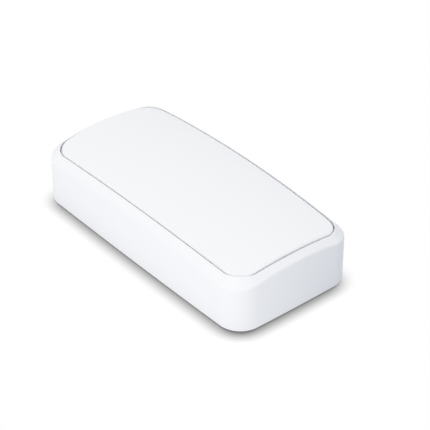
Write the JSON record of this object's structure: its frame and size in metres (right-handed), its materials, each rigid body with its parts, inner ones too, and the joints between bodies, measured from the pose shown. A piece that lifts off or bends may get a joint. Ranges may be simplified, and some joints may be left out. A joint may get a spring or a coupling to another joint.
{
  "type": "temperature humidity sensor",
  "caption": "Battery-powered wireless temperature and humidity sensor: a slim white box with a domed inset panel that lifts off a screw-on wall plate.",
  "frame": {"origin": "middle of the wall plate's back face, which is the middle of the underside of the bounding box", "axes": "+X along the length, +Y across the width, +Z away from the wall, through the front panel"},
  "size_m": [0.07, 0.034, 0.0165],
  "materials": {
    "shell_plastic": "white ABS, fine spark texture",
    "panel_plastic": "white ABS, fine spark texture",
    "chassis_plastic": "white ABS, as moulded",
    "plate_plastic": "white ABS, fine spark texture",
    "button_plastic": "grey ABS",
    "clear_plastic": "clear polycarbonate, polished",
    "black_plastic": "moulding compound",
    "board_laminate": "green solder mask",
    "cell_steel": "nickel-plated steel",
    "contact_nickel": "nickel-plated spring steel",
    "screw_steel": "zinc-plated steel",
    "shield_tin": "tin-plated steel",
    "seal_plastic": "polypropylene",
    "foam": "closed-cell foam",
    "membrane_film": "expanded PTFE film",
    "copper_trace": "plated copper",
    "ceramic_body": "multilayer ceramic",
    "led_resin": "white package, clear resin"
  },
  "bodies": {
    "plate_body": {"wall_plate": "plate_plastic"},
    "front_body": {"front_shell": "shell_plastic", "front_panel": "panel_plastic", "battery_chassis": "chassis_plastic", "circuit_board": "board_laminate", "cell_can": "cell_steel", "cell_cap": "cell_steel", "cell_seal": "seal_plastic", "positive_contact": "contact_nickel", "negative_contact": "contact_nickel", "humidity_sensor": "black_plastic", "sensor_gasket": "foam", "filter_membrane": "membrane_film", "radio_module": "board_laminate", "shield_can": "shield_tin", "radio_chip": "black_plastic", "trace_antenna": "copper_trace", "controller_chip": "black_plastic", "memory_chip": "black_plastic", "timing_crystal": "shield_tin", "regulator_chip": "black_plastic", "power_inductor": "black_plastic", "bulk_capacitor": "ceramic_body", "ceramic_capacitors": "ceramic_body", "chip_resistors": "black_plastic", "status_led": "led_resin", "light_guide": "clear_plastic", "switch_body": "black_plastic", "switch_cover": "contact_nickel", "chassis_screws": "screw_steel", "board_screws": "screw_steel"},
    "button_body": {"pairing_button": "button_plastic"},
    "plunger_body": {"switch_plunger": "black_plastic"}
  },
  "joints": [
    {"name": "front_lift", "type": "slide", "parent": "plate_body", "child": "front_body", "axis": [0, 0, 1], "range_m": [0, 0.02]},
    {"name": "button_press", "type": "slide", "parent": "front_body", "child": "button_body", "axis": [0, 0, 1], "range_m": [0, 0.0003], "stiffness_N_per_m": 4000, "springref_m": -0.0002},
    {"name": "plunger_press", "type": "slide", "parent": "front_body", "child": "plunger_body", "axis": [0, 0, 1], "range_m": [0, 0.0003]}
  ],
  "couplings": [
    {"joint": "plunger_press", "follows": "button_press", "ratio": 1}
  ]
}
